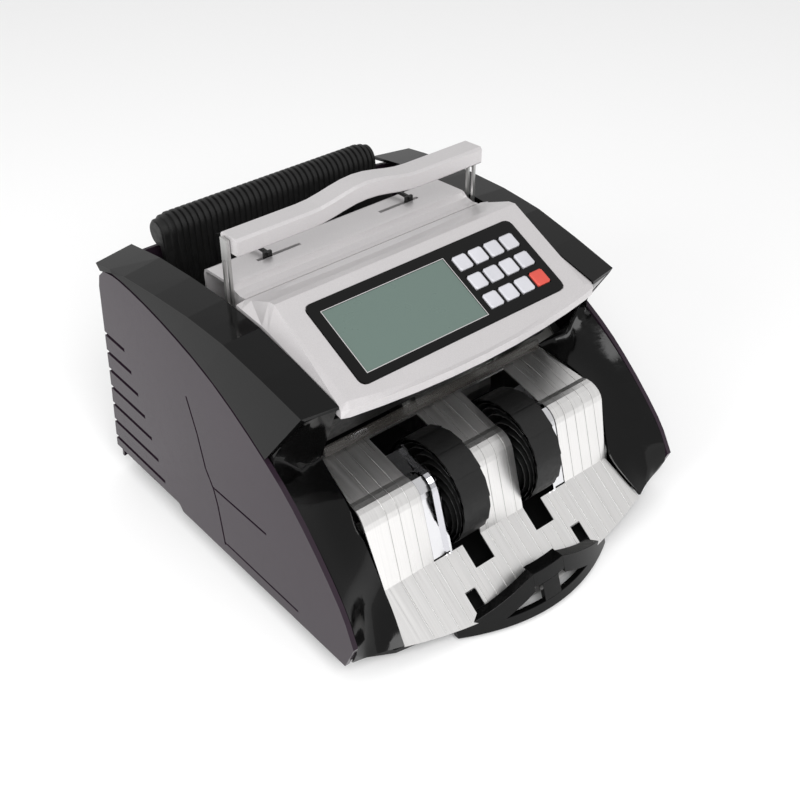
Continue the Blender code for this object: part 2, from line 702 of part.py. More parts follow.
def handle_bar(finish, root):
    rings = []
    count = 22
    for k in range(count + 1):
        x = -BAR_HALF + 2.0 * BAR_HALF * k / count
        lift = hump(x)
        low, high = BAR_LOW_Z + lift * 0.9, BAR_HIGH_Z + lift
        rings.append([(x, BAR_FRONT_Y + 0.8, low), (x, BAR_FRONT_Y, low + 1.0),
                      (x, BAR_FRONT_Y, high - 1.5), (x, BAR_FRONT_Y + 1.5, high + 0.3),
                      (x, BAR_REAR_Y - 1.5, high - 0.8), (x, BAR_REAR_Y, high - 2.3),
                      (x, BAR_REAR_Y, low), (x, BAR_REAR_Y - 1.0, low - 0.8)])
    return add_object("handle_bar", *loft(rings), finish, root)


def handle_arm(side, finish, root):
    """Slotted flat loop that hangs on a shoulder screw."""
    half = ARM_WIDTH / 2
    outline = arc_points(ARM_Y, ARM_LOW_Z + half, half, 180, 360, 6)
    outline += [(ARM_Y + half, 214.0), (ARM_Y - half, 214.0)]
    x0, x1 = sorted((side * ARM_X[0], side * ARM_X[1]))
    made = add_object("handle_arm_" + side_word(side), *prism_x(outline, x0, x1), finish, root)
    slot = arc_points(ARM_Y, SCREW_Z, 2.0, 180, 360, 6) + arc_points(ARM_Y, 197.0, 2.0, 0, 180, 6)
    cut(made, prism_x(slot, x0 - 2.0, x1 + 2.0), "arm_slot_" + side_word(side))
    return made


def handle_screw(side, finish, root):
    profile = [(side * (HOPPER_PLATE_HALF + 0.3), 1.6), (side * (ARM_X[1] + 0.3), 1.6),
               (side * (ARM_X[1] + 0.31), 3.4), (side * (ARM_X[1] + 1.8), 3.4),
               (side * (ARM_X[1] + 2.4), 2.6)]
    made = add_object("handle_screw_" + side_word(side), *turned_x(profile, ARM_Y, SCREW_Z, 16), finish, root)
    smooth(made)
    return made


# ---- drive train -------------------------------------------------------------------------------
def impeller(side, finish, root):
    """Stacking wheel with spiral fins."""
    fins = 8
    hub_r, tip_r, sweep, steps = 12.0, IMPELLER_R, math.radians(70.0), 5
    outline = []
    for fin in range(fins):
        base = 2.0 * math.pi * fin / fins
        front, back = [], []
        for k in range(steps + 1):
            t = k / steps
            radius = hub_r + (tip_r - hub_r) * t
            angle = base + sweep * t ** 1.3
            half = (1.6 - 0.7 * t) / radius
            front.append((radius, angle - half))
            back.append((radius, angle + half))
        outline += front + back[::-1]
    points = [(IMPELLER_Y + r * math.cos(a), IMPELLER_Z + r * math.sin(a)) for r, a in outline]
    x0, x1 = sorted((side * IMPELLER_X[0], side * IMPELLER_X[1]))
    origin = (0.0, IMPELLER_Y, IMPELLER_Z)
    made = add_object("impeller_" + side_word(side), *prism_x(points, x0, x1), finish, root, origin)
    bore = prism_x(circle(IMPELLER_Y, IMPELLER_Z, SHAFT_R + GAP), x0 - 5.0, x1 + 5.0)
    cut(made, bore, "impeller_bore_" + side_word(side))
    return made


def shaft(name, y, z, rollers, pulley_r, finish, root):
    """Turned shaft along X with its rollers and its belt pulley."""
    profile = [(-FRAME_X - 4.0, SHAFT_R)]
    for x0, x1, radius in rollers:
        profile += [(x0, SHAFT_R), (x0 + 0.01, radius), (x1 - 0.01, radius), (x1, SHAFT_R)]
    profile += [(BELT_X[0] - 1.5, SHAFT_R), (BELT_X[0] - 1.49, pulley_r + 1.6),
                (BELT_X[0] - 0.4, pulley_r + 1.6),
                (BELT_X[0] - 0.39, pulley_r), (BELT_X[1] + 0.39, pulley_r),
                (BELT_X[1] + 0.4, pulley_r + 1.6), (BELT_X[1] + 1.5, pulley_r + 1.6)]
    made = add_object(name, *turned_x(profile, y, z, 20), finish, root, (0.0, y, z))
    smooth(made)
    return made


def roller_pair(radius, x0=17.0, x1=37.0):
    return [(-x1, -x0, radius), (x0, x1, radius)]


def main_motor(finish, root):
    profile = [(20.0, 7.0), (24.0, 7.0), (24.01, MOTOR_R), (96.0, MOTOR_R), (96.01, 8.0), (100.0, 8.0)]
    made = add_object("main_motor", *turned_x(profile, MOTOR_Y, MOTOR_Z, 24), finish, root)
    smooth(made)
    return made


def motor_pulley(finish, root):
    pulley_r = PULLEYS["motor"]
    profile = [(100.5, 2.5), (BELT_X[0] - 1.5, 2.5), (BELT_X[0] - 1.49, pulley_r + 1.6),
               (BELT_X[0] - 0.4, pulley_r + 1.6), (BELT_X[0] - 0.39, pulley_r),
               (BELT_X[1] + 0.39, pulley_r), (BELT_X[1] + 0.4, pulley_r + 1.6),
               (BELT_X[1] + 1.5, pulley_r + 1.6)]
    made = add_object("motor_pulley", *turned_x(profile, MOTOR_Y, MOTOR_Z, 20), finish, root,
                      (0.0, MOTOR_Y, MOTOR_Z))
    smooth(made)
    return made


def drive_belt(finish, root):
    """One belt round the motor, impeller, counting, feed and pick-up pulleys."""
    wheels = [(IMPELLER_Y, IMPELLER_Z, PULLEYS["impeller"]), (COUNT_Y, COUNT_Z, PULLEYS["count"]),
              (FEED_Y, FEED_Z, PULLEYS["feed"]), (PICKUP_Y, PICKUP_Z, PULLEYS["pickup"]),
              (MOTOR_Y, MOTOR_Z, PULLEYS["motor"])]
    count = 72
    loops = []
    for clearance in (0.3, 1.4):
        loop = []
        for k in range(count):
            a = 2.0 * math.pi * k / count
            way = (math.cos(a), math.sin(a))
            y, z, r = max(wheels, key=lambda w: w[0] * way[0] + w[1] * way[1] + w[2])
            loop.append((y + (r + clearance) * way[0], z + (r + clearance) * way[1]))
        loops.append(loop)
    inner, outer = loops
    verts, faces = [], []
    for x in BELT_X:
        for loop in (inner, outer):
            verts += [(x, y, z) for y, z in loop]
    for k in range(count):
        j = (k + 1) % count
        faces.append((k, j, 2 * count + j, 2 * count + k))
        faces.append((count + k, count + j, 3 * count + j, 3 * count + k))
        faces.append((k, j, count + j, count + k))
        faces.append((2 * count + k, 2 * count + j, 3 * count + j, 3 * count + k))
    return add_object("drive_belt", verts, faces, finish, root)


# ---- electrics ---------------------------------------------------------------------------------
def power_transformer(finish, root):
    made = add_object("power_transformer", *box(-92.0, -32.0, 196.0, 252.0, -8.6, 44.0), finish, root)
    bevel(made, 2.0)
    return made


def main_board(finish, root):
    return add_object("main_board", *box(12.0, 104.0, 196.0, 268.0, 2.0, 3.6), finish, root)


def power_inlet(finish, root):
    """Three-pole appliance inlet set in the rear cover."""
    made = add_object("power_inlet", *box(-94.0, -46.0, 268.0, 286.0, 20.0, 46.0), finish, root)
    cut(made, box(-97.0, -43.0, 289.1, 291.0, 17.0, 49.0), "inlet_flange", "UNION")
    cut(made, box(-92.0, -48.0, 284.0, 289.6, 22.0, 44.0), "inlet_neck", "UNION")
    mouth = [(-83.0, 24.5), (-57.0, 24.5), (-57.0, 37.5), (-61.5, 42.0), (-78.5, 42.0), (-83.0, 37.5)]
    rings = [[(x, y, z) for x, z in mouth] for y in (275.0, 295.0)]
    cut(made, loft(rings), "inlet_mouth")
    for k, (x, z) in enumerate(((-77.0, 30.5), (-70.0, 36.0), (-63.0, 30.5))):
        cut(made, box(x - 1.0, x + 1.0, 272.0, 287.0, z - 2.0, z + 2.0), "inlet_pin_%d" % (k + 1), "UNION")
    return made


def power_switch(finish, root):
    """Rocker of the mains switch."""
    cy, cz = 287.0, 33.0
    outline = [(cy - 9.0, cz - 12.0), (cy - 9.0, cz + 12.0), (cy + 3.4, cz + 15.6), (cy + 5.6, cz + 15.0),
               (cy + 3.4, cz), (cy + 4.0, cz - 15.0), (cy + 1.8, cz - 15.6)]
    return add_object("power_switch", *prism_x(outline, -37.4, -16.6), finish, root, (0.0, cy, cz))


def gap_knob(finish, root):
    """Knob that sets the feed gap, on a spindle through the rear cover."""
    profile = [(270.0, 3.9), (289.4, 3.9), (289.41, 10.0), (295.5, 9.4), (REAR_Y, 8.2)]
    made = add_object("gap_knob", *turned_y(profile, 0.0, 120.0, 24), finish, root, (0.0, 289.0, 120.0))
    smooth(made)
    return made


# ---- assembly ----------------------------------------------------------------------------------
def build():
    clear_scene()
    plum = material("plum_gloss", (0.055, 0.038, 0.050), 0.22)
    black = material("black_gloss", (0.010, 0.010, 0.011), 0.12)
    dark = material("black_plastic", (0.020, 0.020, 0.021), 0.45)
    silver = material("silver_satin", (0.50, 0.48, 0.48), 0.32, 0.75)
    steel = material("brushed_steel", (0.60, 0.59, 0.57), 0.28, 1.0)
    chrome = material("polished_steel", (0.70, 0.70, 0.71), 0.08, 1.0)
    rubber = material("rubber", (0.015, 0.015, 0.015), 0.80)
    clear = material("smoked_clear", (0.10, 0.09, 0.08), 0.08, 0.0, 0.45)
    glass = material("lcd_glass", (0.13, 0.19, 0.16), 0.18)
    white = material("key_white", (0.75, 0.75, 0.77), 0.40)
    red = material("key_red", (0.80, 0.10, 0.08), 0.40)
    green = material("circuit_board", (0.03, 0.16, 0.07), 0.50)
    zinc = material("zinc_steel", (0.55, 0.55, 0.53), 0.45, 0.9)
    laminate = material("transformer", (0.45, 0.22, 0.08), 0.40, 0.6)

    root = add_empty("machine", (0.0, -(FRONT_Y + REAR_Y) / 2.0, -FLOOR_Z))
    base_pan(dark, root)
    for index, (x, y) in enumerate(FOOT_PLACES):
        rubber_foot(index + 1, x, y, rubber, root)
    for side in (LEFT, RIGHT):
        side_panel(side, plum, root)
        wing_cover(side, black, root)
        cheek(side, black, root)
        side_frame(side, zinc, root)
        guide_strip(side, chrome, root)
        note_guide(side, dark, root)
        handle_arm(side, zinc, root)
        handle_screw(side, zinc, root)
        impeller(side, dark, root)
    rear_cover(plum, root)
    stacker_plate(steel, root)
    front_stop(black, root)
    outlet_guard(clear, root)
    outlet_hood(dark, root)

    console_housing(silver, root)
    tilted = add_empty("console_face", CONSOLE_ORIGIN, root, CONSOLE_TILT)
    display_panel(black, tilted)
    lcd_module(glass, tilted)
    key_board(green, tilted)
    key_caps(white, red, tilted)

    hopper_front_plate(silver, root)
    hopper_floor(dark, root)
    hopper_back_plate(dark, root)
    handle_bar(silver, root)

    shaft("impeller_shaft", IMPELLER_Y, IMPELLER_Z, [], PULLEYS["impeller"], zinc, root)
    shaft("count_shaft", COUNT_Y, COUNT_Z, roller_pair(COUNT_R), PULLEYS["count"], rubber, root)
    shaft("feed_shaft", FEED_Y, FEED_Z, roller_pair(FEED_R), PULLEYS["feed"], rubber, root)
    shaft("pickup_shaft", PICKUP_Y, PICKUP_Z, roller_pair(PICKUP_R), PULLEYS["pickup"], rubber, root)
    main_motor(zinc, root)
    motor_pulley(zinc, root)
    drive_belt(rubber, root)
    power_transformer(laminate, root)
    main_board(green, root)
    power_inlet(dark, root)
    power_switch(dark, root)
    gap_knob(dark, root)


build()
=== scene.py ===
import json
import math

import bmesh
import bpy
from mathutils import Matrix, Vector


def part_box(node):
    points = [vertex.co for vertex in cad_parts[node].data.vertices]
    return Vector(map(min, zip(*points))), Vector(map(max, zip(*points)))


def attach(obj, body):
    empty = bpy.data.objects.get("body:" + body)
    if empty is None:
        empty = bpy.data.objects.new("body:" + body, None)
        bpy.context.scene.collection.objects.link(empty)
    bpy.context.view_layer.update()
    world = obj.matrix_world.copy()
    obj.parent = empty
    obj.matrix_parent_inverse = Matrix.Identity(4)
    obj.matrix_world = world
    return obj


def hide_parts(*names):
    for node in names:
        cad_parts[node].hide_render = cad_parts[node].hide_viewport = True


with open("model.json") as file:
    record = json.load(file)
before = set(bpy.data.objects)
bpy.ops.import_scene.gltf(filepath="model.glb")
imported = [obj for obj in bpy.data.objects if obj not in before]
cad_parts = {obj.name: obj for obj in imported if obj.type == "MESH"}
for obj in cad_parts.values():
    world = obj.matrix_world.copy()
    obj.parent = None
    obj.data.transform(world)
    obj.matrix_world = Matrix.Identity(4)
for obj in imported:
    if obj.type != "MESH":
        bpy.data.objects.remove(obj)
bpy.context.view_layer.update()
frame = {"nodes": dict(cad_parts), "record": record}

# ---- driving values (metres; the lens and its sensor in millimetres) ---------------------------
CAMERA_AZIMUTH = math.radians(-40.16)
CAMERA_ELEVATION = math.radians(36.66)
CAMERA_TARGET = Vector((-0.0139, -0.0208, 0.0980))
CAMERA_DISTANCE = 0.850
CAMERA_LENS = 54.93
SENSOR_WIDTH = 36.0

LIGHT_AIM = Vector((0.0, 0.0, 0.08))
LIGHTS = (("key", (-0.9, -1.5, 1.7), (1.6, 1.4), 44.0),           # name, place, size, watts
          ("left_fill", (-2.0, -0.1, 0.9), (1.0, 1.2), 14.0))
WORLD_STRENGTH = 0.70
FLOOR_REACH = 12.0
FLOOR_DROP = 0.0005         # the floor lies this far under the feet

ROUNDING = {"console_housing": 0.0012, "handle_bar": 0.0012, "hopper_front_plate": 0.0006,
            "wing_cover_left": 0.0008, "wing_cover_right": 0.0008, "side_panel_left": 0.0005,
            "side_panel_right": 0.0005, "lcd_module": 0.0003}
KEYS = 12
KEY_ROUNDING = 0.0004
ROUNDING_SEGMENTS = 3
ROUNDING_ANGLE = math.radians(32.0)
SKIN_LEVELS = 2             # subdivision of a smoothed skin
SKIN_FOLD = math.radians(38.0)      # edges folded more than this stay sharp

RIBS = 40                   # ribs across the hopper's rest
RIB_DEPTH = 0.0016
REST_RADIUS_Y, REST_RADIUS_Z = 0.0120, 0.0128
REST_BACK, REST_DOWN = 0.0123, 0.0130       # middle of the roll, from the rear and the top
REST_STEPS = 22
FINS = 12                   # thin fins on an impeller
FIN_SWEEP = math.radians(165.0)
FIN_THICK = 0.0010
FIN_STEPS = 14
FIN_ROOT = 0.9              # a fin starts at this share of the hub's radius
FIN_TAPER = 0.35            # share of its thickness lost by the tip
FIN_CURL = 1.5
HUB_RADIUS = 0.0125
HUB_CHAMFER = 0.001
HUB_SIDES = 32
WHEEL_INSET = 0.0004        # the wheel stays this far inside the CAD box
CONSOLE_TILT = math.radians(25.4)
DISPLAY_HEIGHT = 0.0497
STOP_HALF = 0.074           # half width of the note stop
STOP_TOP_HALF = 0.014
STOP_LEG = 0.0125
STOP_LEAN = 0.33            # the stop leans back by this much per unit of height
STOP_WINDOW_LOW = 0.009     # top of the lip above the floor
STOP_INSET = 0.0006         # the stop stays this far inside the CAD box
STOP_BOW, STOP_BOW_HALF = 0.019, 0.070      # the lip bows back this much at this half width
STOP_BLOCK = 0.0095         # height and depth of the top block
STOP_RIB_HALF = 0.0075
STOP_WALL = 0.004           # thickness of the lip and the rib
STOP_TOE = 0.004            # height of a leg at its outer end
STOP_END = 0.003            # the legs and the lip end this far short of the half width
STOP_LEG_DEPTH = 0.007
STOP_OVERLAP = 0.0005       # the legs sink this far into the lip
SHEET_LINE_PITCH = 0.0095   # raised lines along the stacker sheet
SHEET_LINE_REACH = 0.098
SHEET_LINE_WIDTH = 0.0006
SHEET_LINE_LIFT = 0.00015
SHEET_LINE_SINK = 0.0002
SHEET_STEP = 0.0012
SHORTEST_RUN = 4            # a line needs this many steps of sheet
BORDER_WIDTH = 0.0005
BORDER_THICK = 0.00015
BORDER_CLEARANCE = 0.0004   # above the display's face

nodes = frame["nodes"]
SLOT_OF = {part["node"]: part["material_slot"] for part in frame["record"]["subparts"]}
LEFT, RIGHT = -1, 1


# ---- material tools ----------------------------------------------------------------------------
class Finish:
    """A Principled material with object-space noise to drive its small variations."""

    def __init__(self, name, colour, roughness, metallic=0.0):
        self.made = bpy.data.materials.new(name)
        self.made.use_nodes = True
        self.tree = self.made.node_tree
        self.shader = self.tree.nodes["Principled BSDF"]
        self.shader.inputs["Base Color"].default_value = (*colour, 1.0)
        self.shader.inputs["Roughness"].default_value = roughness
        self.shader.inputs["Metallic"].default_value = metallic
        self.colour = colour
        self.roughness = roughness
        self.place = self.tree.nodes.new("ShaderNodeTexCoord").outputs["Object"]

    def link(self, start, end):
        self.tree.links.new(start, end)

    def stretched(self, scale):
        """Object coordinates scaled apart along each axis, for grain."""
        mapping = self.tree.nodes.new("ShaderNodeMapping")
        mapping.inputs["Scale"].default_value = scale
        self.link(self.place, mapping.inputs["Vector"])
        return mapping.outputs["Vector"]

    def noise(self, scale, detail=3.0, vector=None):
        made = self.tree.nodes.new("ShaderNodeTexNoise")
        made.inputs["Scale"].default_value = scale
        made.inputs["Detail"].default_value = detail
        self.link(vector or self.place, made.inputs["Vector"])
        return made.outputs["Fac"]

    def ranged(self, value, low, high):
        made = self.tree.nodes.new("ShaderNodeMapRange")
        made.inputs["From Min"].default_value = 0.3
        made.inputs["From Max"].default_value = 0.7
        made.inputs["To Min"].default_value = low
        made.inputs["To Max"].default_value = high
        self.link(value, made.inputs["Value"])
        return made.outputs["Result"]

    def vary_roughness(self, value, spread):
        result = self.ranged(value, self.roughness - spread, self.roughness + spread)
        self.link(result, self.shader.inputs["Roughness"])

    def vary_colour(self, value, spread):
        ramp = self.tree.nodes.new("ShaderNodeValToRGB")
        ramp.color_ramp.elements[0].position = 0.3
        ramp.color_ramp.elements[1].position = 0.7
        ramp.color_ramp.elements[0].color = (*[c * (1.0 - spread) for c in self.colour], 1.0)
        ramp.color_ramp.elements[1].color = (*[c * (1.0 + spread) for c in self.colour], 1.0)
        self.link(value, ramp.inputs["Fac"])
        self.link(ramp.outputs["Color"], self.shader.inputs["Base Color"])

    def bump(self, value, strength, distance):
        made = self.tree.nodes.new("ShaderNodeBump")
        made.inputs["Strength"].default_value = strength
        made.inputs["Distance"].default_value = distance
        self.link(value, made.inputs["Height"])
        self.link(made.outputs["Normal"], self.shader.inputs["Normal"])

    def set(self, name, value):
        self.shader.inputs[name].default_value = value


def gloss_plastic(name, colour, roughness, coat):
    """Moulded gloss: faint flow in the colour and orange peel in the surface."""
    made = Finish(name, colour, roughness)
    made.vary_colour(made.noise(9.0), 0.10)
    made.vary_roughness(made.noise(160.0, 5.0), 0.05)
    made.bump(made.noise(420.0, 2.0), 0.06, 0.0004)
    made.set("Specular IOR Level", 0.22)
    made.set("Coat Weight", coat)
    made.set("Coat Roughness", 0.06)
    return made.made


def matt_plastic(name, colour, roughness=0.48):
    """Spark-eroded grain."""
    made = Finish(name, colour, roughness)
    made.vary_colour(made.noise(30.0), 0.10)
    made.vary_roughness(made.noise(300.0, 4.0), 0.08)
    made.bump(made.noise(2200.0, 2.0), 0.20, 0.0002)
    made.set("Specular IOR Level", 0.35)
    return made.made


def satin_paint(name, colour):
    """Silver paint: metal flake under a thin lacquer."""
    made = Finish(name, colour, 0.34, 0.55)
    made.vary_colour(made.noise(1800.0, 1.0), 0.05)
    made.vary_roughness(made.noise(60.0, 4.0), 0.05)
    made.bump(made.noise(2600.0, 1.0), 0.05, 0.0002)
    made.set("Coat Weight", 0.25)
    made.set("Coat Roughness", 0.15)
    return made.made


def brushed_metal(name, colour, roughness, grain, strength):
    """Long scratches along one axis: grain holds the noise scale on each axis."""
    made = Finish(name, colour, roughness, 1.0)
    scratches = made.noise(1.0, 6.0, made.stretched(grain))
    made.vary_colour(scratches, 0.05)
    made.vary_roughness(scratches, 0.07)
    made.bump(scratches, strength, 0.0002)
    return made.made


def polished_metal(name, colour):
    made = Finish(name, colour, 0.09, 1.0)
    made.vary_roughness(made.noise(90.0, 5.0), 0.04)
    made.bump(made.noise(260.0, 3.0), 0.03, 0.0003)
    return made.made


def rubber(name, colour):
    made = Finish(name, colour, 0.78)
    made.vary_colour(made.noise(70.0), 0.15)
    made.vary_roughness(made.noise(240.0, 4.0), 0.08)
    made.bump(made.noise(1100.0, 3.0), 0.30, 0.0002)
    return made.made


def smoked_clear(name, colour):
    made = Finish(name, colour, 0.10)
    made.vary_roughness(made.noise(120.0, 4.0), 0.03)
    made.set("Alpha", 0.45)
    made.set("Coat Weight", 0.6)
    return made.made


def lcd_glass(name, colour):
    """Reflective display: fine cell grain under a gloss window."""
    made = Finish(name, colour, 0.30)
    made.vary_colour(made.noise(3000.0, 1.0), 0.04)
    made.vary_roughness(made.noise(90.0, 3.0), 0.04)
    made.set("Coat Weight", 0.8)
    made.set("Coat Roughness", 0.05)
    return made.made


def solder_mask(name, colour):
    made = Finish(name, colour, 0.40)
    made.vary_colour(made.noise(260.0, 2.0), 0.25)
    made.bump(made.noise(700.0, 2.0), 0.15, 0.0002)
    return made.made


def laminations(name, colour):
    made = Finish(name, colour, 0.45, 0.5)
    layers = made.noise(1.0, 2.0, made.stretched((20.0, 1400.0, 20.0)))
    made.vary_colour(layers, 0.30)
    made.bump(layers, 0.4, 0.0004)
    return made.made


def make_finishes():
    return {
        "plum_gloss": gloss_plastic("plum_gloss", (0.020, 0.012, 0.019), 0.20, 0.10),
        "black_gloss": gloss_plastic("black_gloss", (0.002, 0.002, 0.002), 0.10, 0.0),
        "black_plastic": matt_plastic("black_plastic", (0.005, 0.005, 0.005)),
        "silver_satin": satin_paint("silver_satin", (0.60, 0.58, 0.585)),
        "brushed_steel": brushed_metal("brushed_steel", (0.86, 0.85, 0.84), 0.34,
                                       (2400.0, 14.0, 14.0), 0.05),
        "polished_steel": polished_metal("polished_steel", (0.76, 0.76, 0.78)),
        "rubber": rubber("rubber", (0.016, 0.016, 0.016)),
        "smoked_clear": smoked_clear("smoked_clear", (0.06, 0.055, 0.05)),
        "lcd_glass": lcd_glass("lcd_glass", (0.090, 0.135, 0.116)),
        "key_white": matt_plastic("key_white", (0.50, 0.50, 0.53), 0.36),
        "key_red": matt_plastic("key_red", (0.56, 0.075, 0.055), 0.36),
        "circuit_board": solder_mask("circuit_board", (0.02, 0.12, 0.05)),
        "zinc_steel": brushed_metal("zinc_steel", (0.55, 0.55, 0.54), 0.36,
                                    (300.0, 300.0, 60.0), 0.10),
        "transformer": laminations("transformer", (0.09, 0.06, 0.04)),
    }


# ---- mesh tools --------------------------------------------------------------------------------
def new_piece(name, verts, faces, slot, body, replaced=None):
    mesh = bpy.data.meshes.new(name)
    mesh.from_pydata(verts, [], faces)
    work = bmesh.new()
    work.from_mesh(mesh)
    bmesh.ops.recalc_face_normals(work, faces=work.faces)
    work.to_mesh(mesh)
    work.free()
    made = bpy.data.objects.new(name, mesh)
    bpy.context.scene.collection.objects.link(made)
    mesh.materials.append(finishes[slot])
    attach(made, body)
    if replaced:
        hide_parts(replaced)
    return made


def loft(rings):
    """Skin a run of equal rings and cap both ends."""
    count = len(rings[0])
    verts = [point for ring in rings for point in ring]
    faces = []
    for k in range(len(rings) - 1):
        for i in range(count):
            j = (i + 1) % count
            faces.append((k * count + i, k * count + j, (k + 1) * count + j, (k + 1) * count + i))
    faces.append(tuple(range(count))[::-1])
    faces.append(tuple(range((len(rings) - 1) * count, len(rings) * count)))
    return verts, faces


def merge(shapes):
    verts, faces = [], []
    for more_verts, more_faces in shapes:
        start = len(verts)
        verts += more_verts
        faces += [tuple(start + i for i in face) for face in more_faces]
    return verts, faces


def round_edges(made, width):
    modifier = made.modifiers.new("soft_edges", "BEVEL")
    modifier.width = width
    modifier.segments = ROUNDING_SEGMENTS
    modifier.limit_method = "ANGLE"
    modifier.angle_limit = ROUNDING_ANGLE
    modifier.use_clamp_overlap = True
    modifier.harden_normals = False


# ---- pieces ------------------------------------------------------------------------------------
def smooth_copy(node_name, body):
    """Stand in for a coarse CAD skin with a subdivided one that keeps its sharp edges."""
    mesh = nodes[node_name].data.copy()
    mesh.name = node_name + "_skin"
    work = bmesh.new()
    work.from_mesh(mesh)
    bmesh.ops.remove_doubles(work, verts=work.verts, dist=0.00002)
    bmesh.ops.join_triangles(work, faces=work.faces, angle_face_threshold=math.radians(25.0),
                             angle_shape_threshold=math.radians(80.0))
    crease = work.edges.layers.float.new("crease_edge")
    for edge in work.edges:
        if len(edge.link_faces) != 2 or edge.calc_face_angle(0.0) > SKIN_FOLD:
            edge[crease] = 1.0
    work.to_mesh(mesh)
    work.free()
    made = bpy.data.objects.new(node_name + "_skin", mesh)
    bpy.context.scene.collection.objects.link(made)
    rounding = made.modifiers.new("rounding", "SUBSURF")
    rounding.levels = SKIN_LEVELS
    rounding.render_levels = SKIN_LEVELS
    rounding.boundary_smooth = "PRESERVE_CORNERS"
    mesh.shade_smooth()
    mesh.set_sharp_from_angle(angle=SKIN_FOLD)
    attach(made, body)
    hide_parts(node_name)


def note_stop():
    """A-shaped stop on a bowed lip: two sloping legs, a middle rib and a top block."""
    low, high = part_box("front_stop")
    top, foot = high.z - STOP_INSET, low.z + STOP_INSET
    slope = (top - foot - STOP_TOE) / (STOP_HALF - STOP_TOP_HALF)

    def front(x, z):
        return low.y + STOP_INSET + STOP_BOW * (x / STOP_BOW_HALF) ** 2 + STOP_LEAN * (z - foot)

    def leg_top(x):
        return top - max(0.0, abs(x) - STOP_TOP_HALF) * slope

    def strip(x0, x1, z_low, z_high, depth, steps):
        rings = []
        for k in range(steps + 1):
            x = x0 + (x1 - x0) * k / steps
            z0, z1 = z_low(x), z_high(x)
            y0, y1 = front(x, z0), front(x, z1)
            rings.append([(x, y0, z0), (x, y1, z1), (x, min(y1 + depth, high.y), z1),
                          (x, min(y0 + depth, high.y), z0)])
        return loft(rings)

    shapes = [strip(-STOP_TOP_HALF, STOP_TOP_HALF, lambda x: top - STOP_BLOCK, leg_top, STOP_BLOCK, 6),
              strip(-STOP_RIB_HALF, STOP_RIB_HALF, lambda x: STOP_WINDOW_LOW,
                    lambda x: top - STOP_BLOCK, STOP_WALL, 4),
              strip(STOP_END - STOP_HALF, STOP_HALF - STOP_END, lambda x: foot,
                    lambda x: min(STOP_WINDOW_LOW, leg_top(x)), STOP_WALL, 36)]
    for side in (LEFT, RIGHT):
        shapes.append(strip(side * STOP_TOP_HALF, side * (STOP_HALF - STOP_END),
                            lambda x: max(leg_top(x) - STOP_LEG, STOP_WINDOW_LOW - STOP_OVERLAP),
                            lambda x: max(leg_top(x), STOP_WINDOW_LOW), STOP_LEG_DEPTH, 18))
    made = new_piece("note_stop", *merge(shapes), "black_gloss", "chassis", "front_stop")
    made.data.shade_smooth()
    made.data.set_sharp_from_angle(angle=math.radians(30.0))
    round_edges(made, 0.0006)


def ribbed_rest():
    """Roll at the back of the hopper, ribbed all along, on its slim back plate."""
    low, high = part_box("hopper_back_plate")
    middle_y, middle_z = high.y - REST_BACK, high.z - REST_DOWN

    def ring(x, scale):
        points = []
        for k in range(REST_STEPS + 1):
            a = math.radians(-118.0 + 300.0 * k / REST_STEPS)
            points.append((x, middle_y + REST_RADIUS_Y * scale * math.cos(a),
                           middle_z + REST_RADIUS_Z * scale * math.sin(a)))
        points.append((x, low.y + 0.0004, low.z + 0.0003))
        points.append((x, low.y + 0.0036, low.z + 0.0006))
        return points

    pitch = (high.x - low.x) / RIBS
    valley = 1.0 - RIB_DEPTH / REST_RADIUS_Y
    rings = []
    for k in range(RIBS):
        end = min(k, RIBS - 1 - k)
        rounding = (0.80, 0.93)[end] if end < 2 else 1.0
        for part, scale in ((0.04, valley), (0.24, valley), (0.36, 1.0), (0.88, 1.0)):
            rings.append(ring(low.x + (k + part) * pitch, scale * rounding))
    made = new_piece("ribbed_rest", *loft(rings), "black_plastic", "chassis", "hopper_back_plate")
    made.data.shade_smooth()
    made.data.set_sharp_from_angle(angle=math.radians(28.0))


def impeller_wheel(side):
    """Stacking wheel: a turned hub with long thin spiral fins."""
    word = "left" if side == LEFT else "right"
    low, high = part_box("impeller_" + word)
    centre_y, centre_z = (low.y + high.y) / 2, (low.z + high.z) / 2
    tip = min(high.y - low.y, high.z - low.z) / 2 - WHEEL_INSET
    root = HUB_RADIUS * FIN_ROOT
    near, far = low.x + WHEEL_INSET, high.x - WHEEL_INSET
    circle = [math.tau * k / HUB_SIDES for k in range(HUB_SIDES)]
    profile = ((near, HUB_RADIUS - HUB_CHAMFER), (low.x + 2 * WHEEL_INSET, HUB_RADIUS),
               (high.x - 2 * WHEEL_INSET, HUB_RADIUS), (far, HUB_RADIUS - HUB_CHAMFER))
    shapes = [loft([[(x, centre_y + r * math.cos(a), centre_z + r * math.sin(a)) for a in circle]
                    for x, r in profile])]
    for fin in range(FINS):
        start = math.tau * fin / FINS
        outline_out, outline_in = [], []
        for k in range(FIN_STEPS + 1):
            t = k / FIN_STEPS
            radius = root + (tip - root) * math.sin(t * math.pi / 2)
            angle = start + FIN_SWEEP * t ** FIN_CURL
            half = FIN_THICK * (1.0 - FIN_TAPER * t) / radius
            outline_out.append((radius, angle - half))
            outline_in.append((radius, angle + half))
        outline = outline_out + outline_in[::-1]
        shapes.append(loft([[(x, centre_y + r * math.cos(a), centre_z + r * math.sin(a))
                             for r, a in outline] for x in (near, far)]))
    made = new_piece("wheel_" + word, *merge(shapes), "black_plastic", "impeller_axle",
                     "impeller_" + word)
    made.data.shade_smooth()
    made.data.set_sharp_from_angle(angle=math.radians(35.0))


